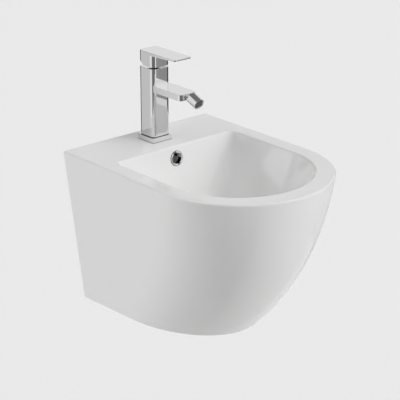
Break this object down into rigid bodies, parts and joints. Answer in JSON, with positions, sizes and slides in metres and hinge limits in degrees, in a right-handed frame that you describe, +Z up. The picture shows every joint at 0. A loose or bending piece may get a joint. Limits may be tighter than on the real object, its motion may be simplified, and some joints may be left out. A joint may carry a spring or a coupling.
{
  "type": "wall-hung bidet",
  "caption": "Wall-hung ceramic bidet with a D-shaped rim and bowl, square chrome single-lever mixer, swivel nozzle, overflow ring and push-open waste plug.",
  "frame": {"origin": "midway between the two wall fixing holes, on the wall plane", "axes": "+X to the user's right when facing the wall, +Y into the wall, +Z up"},
  "size_m": [0.369, 0.4856, 0.5085],
  "materials": {
    "glaze": "gloss",
    "chrome": "polished",
    "brass": "machined",
    "steel": "zinc plated",
    "rubber": "matte",
    "white_plastic": "moulded",
    "dark_plastic": "moulded",
    "disc_ceramic": "lapped"
  },
  "bodies": {
    "fixture": {"ceramic_body": "glaze", "overflow_ring": "chrome", "base_plate": "chrome", "tap_column": "chrome", "spout_arm": "chrome", "ball_stub": "chrome", "waste_flange": "chrome", "waste_tail": "chrome", "cartridge_nut": "brass", "stud_nut": "brass", "waste_nut": "brass", "click_cartridge": "brass", "fixing_stud": "steel", "horseshoe_washer": "steel", "wall_washer_left": "steel", "wall_washer_right": "steel", "wall_nut_left": "steel", "wall_nut_right": "steel", "base_gasket": "rubber", "horseshoe_gasket": "rubber", "port_seal_plate": "rubber", "flange_seal": "rubber", "waste_gasket": "rubber", "cartridge_base": "white_plastic", "cartridge_shell": "white_plastic", "wall_sleeve_left": "white_plastic", "wall_sleeve_right": "white_plastic", "fixed_disc": "disc_ceramic"},
    "turret": {"stem_guide": "white_plastic", "pivot_pin": "steel"},
    "lever": {"lever_stem": "brass", "lever_handle": "chrome", "grub_screw": "steel", "screw_cover": "dark_plastic"},
    "disc": {"moving_disc": "disc_ceramic", "disc_carrier": "white_plastic"},
    "swivel": {"ball_seat": "white_plastic"},
    "nozzle": {"nozzle_housing": "chrome", "nozzle_washer": "rubber", "flow_insert": "dark_plastic", "nozzle_ring": "chrome"},
    "plug": {"plug_cap": "chrome", "plug_seal": "rubber", "plug_stem": "brass"}
  },
  "joints": [
    {"name": "lever_swivel", "type": "hinge", "parent": "fixture", "child": "turret", "pos_m": [0, -0.056, 0.236], "axis": [0, 0, 1], "range_deg": [-45, 45]},
    {"name": "lever_lift", "type": "hinge", "parent": "turret", "child": "lever", "pos_m": [0, -0.056, 0.236], "axis": [-1, 0, 0], "range_deg": [0, 20]},
    {"name": "disc_slide", "type": "slide", "parent": "turret", "child": "disc", "axis": [0, -1, 0], "range_m": [0, 0.0025]},
    {"name": "nozzle_turn", "type": "hinge", "parent": "fixture", "child": "swivel", "pos_m": [0, -0.171, 0.2104], "axis": [0, 0, 1], "range_deg": [-15, 15]},
    {"name": "nozzle_tilt", "type": "hinge", "parent": "swivel", "child": "nozzle", "pos_m": [0, -0.171, 0.2104], "axis": [-1, 0, 0], "range_deg": [0, 38]},
    {"name": "plug_lift", "type": "slide", "parent": "fixture", "child": "plug", "axis": [0, 0, 1], "range_m": [0, 0.008]}
  ],
  "couplings": [
    {"joint": "disc_slide", "follows": "lever_lift", "m_per_rad": 0.00697}
  ]
}
